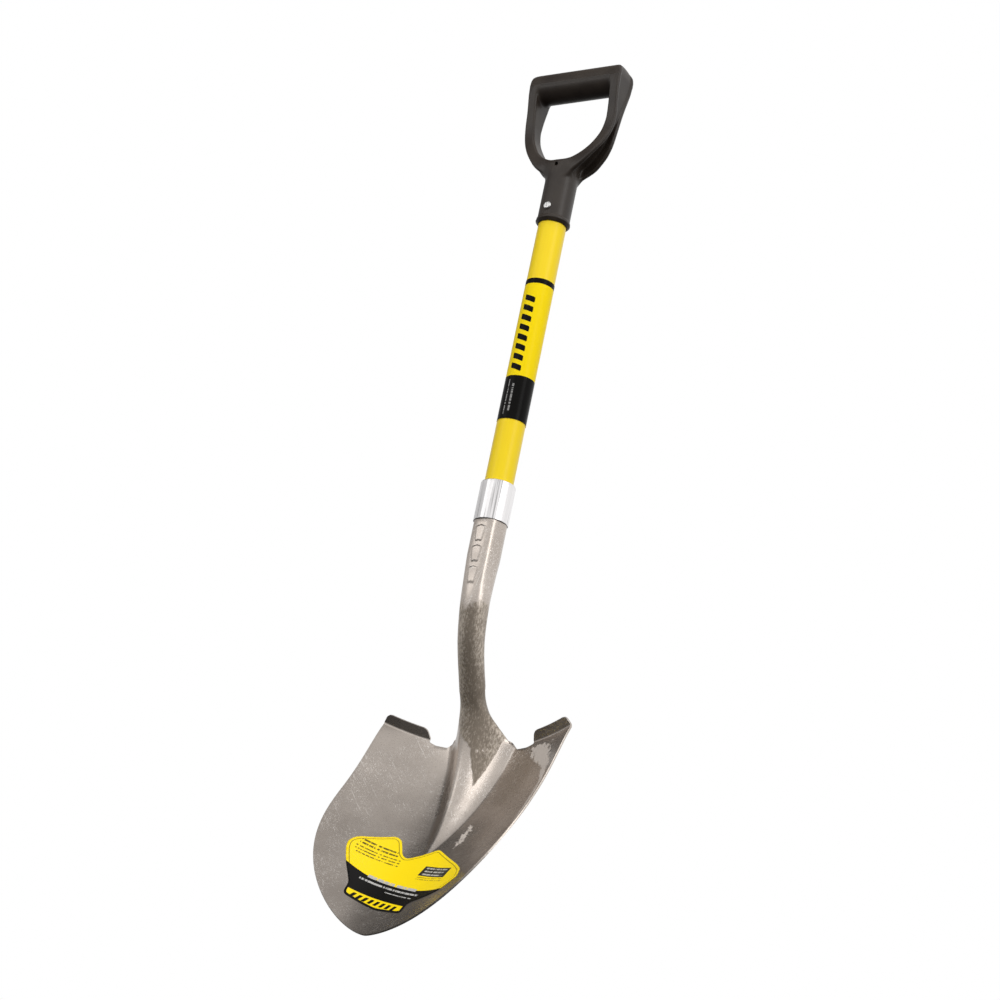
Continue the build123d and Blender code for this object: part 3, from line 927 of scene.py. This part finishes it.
# Outlines seen from the front: the front plate, the rear plate, the web between them and the finger gap.
GRIP_FRONT = mirrored([(42, 24.6), (52, 23.4), (57.8, 18.8), (60.2, 11), (60.2, 2), (59.8, -24), (60, -46),
                       (57, -64.5), (50.3, -80), (40, -95), (31.5, -105), (20.5, -113.5), (12, -119)])
GRIP_REAR = mirrored([(42, 24.6), (51.5, 23.4), (57.2, 18.8), (59.4, 11), (59.4, 2), (58.6, -24),
                      (57.8, -52), (54.3, -73), (48.5, -86), (40.8, -96), (33.5, -104), (21, -112.5),
                      (12, -119)])
GRIP_BELT = mirrored([(42, 24.6), (51, 22.8), (56.4, 18), (58.4, 10), (58.4, 2), (57.2, -24), (55, -46),
                      (48.9, -64), (41, -79), (31, -90.5), (20, -100), (9, -106)])
GRIP_GAP = mirrored([(48.4, 6), (48.4, -7), (48.4, -22), (48, -38), (47.1, -50), (43.4, -65), (35.6, -79.5),
                     (28, -88.5), (18.6, -95), (8, -98.6), (0.1, -99.2)])
# Half the grip's depth, front to back, at heights from the bar down to the handle.
WAIST_Z = (-122.0, -108.0, -98.0, -88.0, -78.0, -66.0, -56.0, -46.0, -34.0, -24.0, -14.0, -6.0, BAR_RISE)
WAIST_Y = (12.5, 14.8, 14.6, 12.9, 10.7, 9.1, 8.75, 9.2, 10.9, 12.8, 14.8, 16.2, BAR_R)


def waist(z):
    """Half the grip's depth at a height."""
    fine = smooth_path(list(zip(WAIST_Z, WAIST_Y)), 90)
    return np.interp(z, fine[:, 0], fine[:, 1])


def grip_field(p):
    """Distance outside the grip, negative inside."""
    x, y, z = p[:, 0], p[:, 1], p[:, 2]
    depth = waist(z)
    around = np.hypot(x, y)
    half = PLATE / 2
    front = soft_max(outline_distance(GRIP_FRONT, x, z), np.abs(y + depth - half) - half, PLATE_ROUND)
    rear = soft_max(outline_distance(GRIP_REAR, x, z), np.abs(y - depth + half) - half, PLATE_ROUND)
    belt = soft_max(outline_distance(GRIP_BELT, x, z), np.abs(y) - depth + WEB_INSET, 2.0)
    body = soft_min(soft_min(front, belt, 2.0), rear, 2.0)
    tube = np.maximum(soft_max(around - GRIP_TUBE_R, z - GRIP_TUBE_TOP, 6.0), RIM_Z + 3 - z)
    body = soft_min(body, tube, 5.5)
    body = soft_max(body, -outline_distance(GRIP_GAP, x, z), 2.6)
    bar = soft_max(np.hypot(y, z - BAR_RISE) - BAR_R, np.abs(x) - BAR_HALF_LENGTH, 1.5)
    body = soft_min(body, bar, 4.0)
    arch = (np.abs(y) ** CAP_POWER + np.maximum(z - BAR_RISE, 0) ** CAP_POWER) ** (1 / CAP_POWER) - BAR_R
    cap = np.where(z > BAR_RISE, arch, np.abs(y) - CAP_DEPTH)
    body = soft_max(body, cap, 2.4)
    lip = soft_max(around - LIP_R, np.abs(z - LIP_Z) - LIP_HALF, 0.9)
    taper = np.maximum((around - TAPER_R - (z - RIM_Z) * 0.82) * 0.77, np.abs(z - RIM_Z - 2.2) - 2.2)
    body = soft_min(body, soft_min(lip, taper, 0.4), 0.6)
    bore = np.maximum(around - HANDLE_R - 0.15, z - BORE_TOP)
    body = soft_max(body, -bore, 0.3)
    recess = np.maximum(np.hypot(x, z - RIVET_Z) - RECESS_R, RECESS_BOTTOM - np.abs(y))
    body = soft_max(body, -recess, 0.5)
    vent = np.maximum(np.hypot(x, z - VENT_Z) - VENT_R, y - VENT_END_Y)
    return soft_max(body, -vent, 0.4)


def surface_net(values):
    """Points, in cells, and outward quads round the zero surface of a sampled field."""
    cells = tuple(n - 1 for n in values.shape)
    total = np.zeros(cells + (3,), np.float32)
    count = np.zeros(cells, np.float32)
    for axis in range(3):
        side = [a for a in range(3) if a != axis]
        for i in (0, 1):
            for j in (0, 1):
                start = [0, 0, 0]
                start[side[0]], start[side[1]] = i, j
                end = list(start)
                end[axis] = 1
                a = values[tuple(slice(k, k + n) for k, n in zip(start, cells))]
                b = values[tuple(slice(k, k + n) for k, n in zip(end, cells))]
                cross = (a < 0) != (b < 0)
                gap = np.where(cross, a - b, 1)
                total[..., axis] += np.where(cross, a / gap, 0)
                total[..., side[0]] += i * cross
                total[..., side[1]] += j * cross
                count += cross
    active = count > 0
    number = np.full(cells, -1)
    number[active] = np.arange(active.sum())
    points = np.argwhere(active) + total[active] / count[active][:, None]
    quads = []
    for axis in range(3):
        u, v = (axis + 1) % 3, (axis + 2) % 3

        def part(array, along, du, dv):
            cut = [None] * 3
            cut[axis] = slice(along, along + cells[axis])
            cut[u] = slice(1 + du, cells[u] + du)
            cut[v] = slice(1 + dv, cells[v] + dv)
            return array[tuple(cut)]

        a, b = part(values, 0, 0, 0) < 0, part(values, 1, 0, 0) < 0
        ring = [part(number, 0, du, dv) for du, dv in ((-1, -1), (0, -1), (0, 0), (-1, 0))]
        for mask, order in ((a & ~b, (0, 1, 2, 3)), (~a & b, (3, 2, 1, 0))):
            quads.append(np.stack([ring[k][mask] for k in order], -1))
    return points, np.concatenate(quads)


def settle(field, points):
    """Moves points onto the field's zero surface."""
    nudge = 0.05
    for _ in range(3):
        value = field(points)
        slope = np.stack([(field(points + nudge * axis) - field(points - nudge * axis)) / (2 * nudge)
                          for axis in np.eye(3)], -1)
        size = np.maximum((slope ** 2).sum(-1), 0.2)
        move = (value / size)[:, None] * slope
        points = points - np.clip(move, -0.4, 0.4)
    return points


def make_grip():
    """The grip, meshed from its field."""
    low, high = np.array((-62.0, -21.0, -181.0)), np.array((62.0, 21.0, 26.0))
    step = 0.9
    counts = np.ceil((high - low) / step).astype(int) + 1
    axes = [low[k] + step * np.arange(counts[k]) for k in range(3)]
    grid = np.stack(np.meshgrid(*axes, indexing="ij"), -1).reshape(-1, 3)
    values = grip_field(grid).reshape(tuple(counts))
    points, quads = surface_net(values)
    points = settle(grip_field, points * step + low)
    grip = make_object("grip_moulding", points, quads.tolist(), make_grip_plastic())
    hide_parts("grip")
    return grip


# ======== ferrule and rivets
def ring_surface(name, profile, angles, radius_at, material):
    """A closed ring from a loop of (radius offset, z), its radius varying round the axis."""
    rows = []
    for offset, z in profile:
        radius = radius_at(angles) + offset
        level = np.full_like(angles, z)
        rows.append(np.stack([radius * np.sin(angles), -radius * np.cos(angles), level], -1))
    rows.append(rows[0])
    points = np.array(rows)
    count = len(angles)
    faces = [tuple(k % (len(profile) * count) for k in quad)
             for quad in grid_quads(len(profile) + 1, count, wrap=True)]
    return make_object(name, points[:-1].reshape(-1, 3), faces, material)


FERRULE_R = 19.05
FERRULE_TOP = -496.0
FERRULE_BOTTOM = -541.5


def make_ferrule():
    """A pressed collar: broad flats between soft creases, rolled at the top edge."""
    creases = np.radians([-170, -128, -92, -58, -29, -4, 24, 49, 71, 90, 121, 152])

    def radius_at(angle):
        radius = np.full_like(angle, FERRULE_R)
        for k, start in enumerate(creases):
            end = creases[(k + 1) % len(creases)] + (2 * math.pi if k == len(creases) - 1 else 0)
            middle, half = (start + end) / 2, (end - start) / 2
            turned = (angle - middle + math.pi) % (2 * math.pi) - math.pi
            flat = FERRULE_R * (1 - 0.5 * (1 - math.cos(half))) / np.maximum(np.cos(turned), 0.3)
            radius = np.where(np.abs(turned) <= half, soft_min(radius, flat, 0.25), radius)
        return radius

    top, bottom = FERRULE_TOP, FERRULE_BOTTOM
    profile = [(-0.7, bottom), (-0.25, bottom), (-0.05, bottom + 0.25), (0, bottom + 0.6)]
    profile += [(0, z) for z in np.linspace(bottom + 2, top - 2.4, 8)]
    profile += [(0.02, top - 1.8), (0.1, top - 1.2), (0.1, top - 0.6), (-0.05, top - 0.2), (-0.35, top)]
    profile += [(-0.7, top), (-0.72, top - 3), (-0.72, bottom + 3)]
    angles = np.linspace(-math.pi, math.pi, 241)[:-1]
    steel = make_bright_steel("polished_steel", FERRULE_TINT)
    ferrule = ring_surface("ferrule_collar", profile, angles, radius_at, steel)
    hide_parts("ferrule")
    return ferrule


# ======== materials on the CAD's own pieces
def dress(node, material):
    """Gives a CAD node its material."""
    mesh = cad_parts[node].data
    mesh.materials.clear()
    mesh.materials.append(material)


# ======== stage, light and camera
FLOOR_HALF_M = 6.0
FLOOR_LEVEL_M = -2.0
FLOOR_PAINT = (0.86, 0.86, 0.86)
# Grey levels of the room as (direction, level), from straight down to straight up and from left to
# right. The card is a dark patch high on the left.
ROOM_BY_HEIGHT = ((-1, 0.07), (-0.5, 0.08), (-0.25, 0.31), (0, 0.62), (0.2, 0.95), (0.42, 1), (0.72, 0.8),
                  (0.93, 0.62), (1, 0.56))
ROOM_BY_SIDE = ((-1, 0.66), (-0.85, 0.70), (-0.6, 0.86), (-0.3, 0.94), (0.05, 1), (1, 1))
CARD_BY_HEIGHT = ((-1, 0), (0.36, 0), (0.50, 1), (0.86, 1), (0.97, 0), (1, 0))
CARD_BY_SIDE = ((-1, 0.92), (-0.5, 0.92), (-0.22, 0), (1, 0))
CARD_GREY = 0.08
LIGHTS_AIM_M = (0, 0, -0.5)


def make_stage():
    """A plain pale floor below the shovel."""
    mesh = bpy.data.meshes.new("floor")
    signs = ((-1, -1), (1, -1), (1, 1), (-1, 1))
    corners = [(a * FLOOR_HALF_M, b * FLOOR_HALF_M, FLOOR_LEVEL_M) for a, b in signs]
    mesh.from_pydata(corners, [], [(0, 1, 2, 3)])
    floor = bpy.data.objects.new("floor", mesh)
    bpy.context.collection.objects.link(floor)
    paint = Finish("pale_floor", 0.8)
    paint.set_colour(FLOOR_PAINT)
    mesh.materials.append(paint.material)
    floor.visible_glossy = False
    floor.visible_diffuse = False


def grey_ramp(tree, value, stops):
    """A smooth grey scale over a value that runs from -1 to 1."""
    share = tree.nodes.new("ShaderNodeMapRange")
    share.inputs["From Min"].default_value = -1.0
    share.inputs["From Max"].default_value = 1.0
    tree.links.new(value, share.inputs["Value"])
    ramp = tree.nodes.new("ShaderNodeValToRGB")
    ramp.color_ramp.interpolation = "EASE"
    tree.links.new(share.outputs["Result"], ramp.inputs["Fac"])
    first, last = ramp.color_ramp.elements
    for element, (place, level) in ((first, stops[0]), (last, stops[-1])):
        element.position = (place + 1) / 2
        element.color = (level, level, level, 1)
    for place, level in stops[1:-1]:
        ramp.color_ramp.elements.new((place + 1) / 2).color = (level, level, level, 1)
    return ramp.outputs["Color"]


def make_world():
    """A pale room, bright above and darker below, with a dark card. The camera sees plain white."""
    world = bpy.data.worlds.new("studio")
    bpy.context.scene.world = world
    world.use_nodes = True
    tree = world.node_tree
    tree.nodes.clear()
    new, link = tree.nodes.new, tree.links.new
    out = new("ShaderNodeOutputWorld")
    coordinates = new("ShaderNodeTexCoord")
    split = new("ShaderNodeSeparateXYZ")
    link(coordinates.outputs["Generated"], split.inputs[0])
    height, side = split.outputs["Z"], split.outputs["X"]
    level = new("ShaderNodeMix")
    level.data_type = "RGBA"
    level.blend_type = "MULTIPLY"
    level.inputs["Factor"].default_value = 1.0
    link(grey_ramp(tree, height, ROOM_BY_HEIGHT), level.inputs[6])
    link(grey_ramp(tree, side, ROOM_BY_SIDE), level.inputs[7])
    card = new("ShaderNodeMath")
    card.operation = "MULTIPLY"
    link(grey_ramp(tree, height, CARD_BY_HEIGHT), card.inputs[0])
    link(grey_ramp(tree, side, CARD_BY_SIDE), card.inputs[1])
    shaded = new("ShaderNodeMix")
    shaded.data_type = "RGBA"
    link(card.outputs[0], shaded.inputs["Factor"])
    link(level.outputs[2], shaded.inputs[6])
    shaded.inputs[7].default_value = (CARD_GREY, CARD_GREY, CARD_GREY, 1)
    room = new("ShaderNodeBackground")
    link(shaded.outputs[2], room.inputs["Color"])
    plain = new("ShaderNodeBackground")
    plain.inputs["Color"].default_value = (1, 1, 1, 1)
    path = new("ShaderNodeLightPath")
    choose = new("ShaderNodeMixShader")
    link(path.outputs["Is Camera Ray"], choose.inputs["Fac"])
    link(room.outputs[0], choose.inputs[1])
    link(plain.outputs[0], choose.inputs[2])
    link(choose.outputs[0], out.inputs["Surface"])


def add_light(name, azimuth, elevation, distance, size, energy):
    """A soft panel of light, in metres, that faces the shovel. Azimuth 0 is the front, 90 the +X side."""
    a, e = math.radians(azimuth), math.radians(elevation)
    back = Vector((math.sin(a) * math.cos(e), -math.cos(a) * math.cos(e), math.sin(e)))
    data = bpy.data.lights.new(name, "AREA")
    data.shape = "RECTANGLE"
    data.size, data.size_y = size
    data.energy = energy
    lamp = bpy.data.objects.new(name, data)
    bpy.context.collection.objects.link(lamp)
    lamp.location = Vector(LIGHTS_AIM_M) + back * distance
    lamp.rotation_mode = "QUATERNION"
    lamp.rotation_quaternion = (-back).to_track_quat("-Z", "Y")
    return lamp


CAMERA_PLACE = (1474.7, -2074.6, -1483.9)
CAMERA_AIM = (5.8, 0.0, -513.2)
CAMERA_ROLL = math.radians(11.7)
CAMERA_LENS = 91.22
SENSOR_WIDTH = 36.0


def make_camera():
    """A camera low on the shovel's right front, tilted a little."""
    rise = Vector((0, 0, BAR_RISE))
    location = (Vector(CAMERA_PLACE) - rise) * MM
    aim = (Vector(CAMERA_AIM) - rise) * MM
    ahead = (aim - location).normalized()
    level = ahead.cross(Vector((0, 0, 1))).normalized()
    upright = level.cross(ahead)
    right = level * math.cos(CAMERA_ROLL) + upright * math.sin(CAMERA_ROLL)
    up = upright * math.cos(CAMERA_ROLL) - level * math.sin(CAMERA_ROLL)
    data = bpy.data.cameras.new("camera")
    data.sensor_width = SENSOR_WIDTH
    data.lens = CAMERA_LENS
    camera = bpy.data.objects.new("camera", data)
    bpy.context.collection.objects.link(camera)
    turn = Matrix((right, up, -ahead)).transposed().to_4x4()
    turn.translation = location
    camera.matrix_world = turn
    bpy.context.scene.camera = camera


make_camera()
make_stage()
make_world()
add_light("overhead", 20, 62, 2.6, (2.2, 2.2), 36).visible_glossy = False
add_light("right_strip", 72, 24, 2.4, (0.8, 2.2), 11)
add_light("front_panel", -33, 23, 3.1, (1.6, 1.1), 5.5)
add_light("floor_bounce", 25, -50, 2.6, (2.4, 2.4), 16).visible_glossy = False
bpy.context.scene.view_settings.view_transform = "Standard"

make_head()
make_sticker()
make_grip()
make_ferrule()
dress("handle_tube", make_handle_yellow())
dress("handle_core", make_core_material())
dress("handle_label", make_handle_print())
rivet_steel = make_bright_steel("rivet_steel", RIVET_TINT)
dress("grip_rivet", rivet_steel)
dress("socket_rivet", rivet_steel)
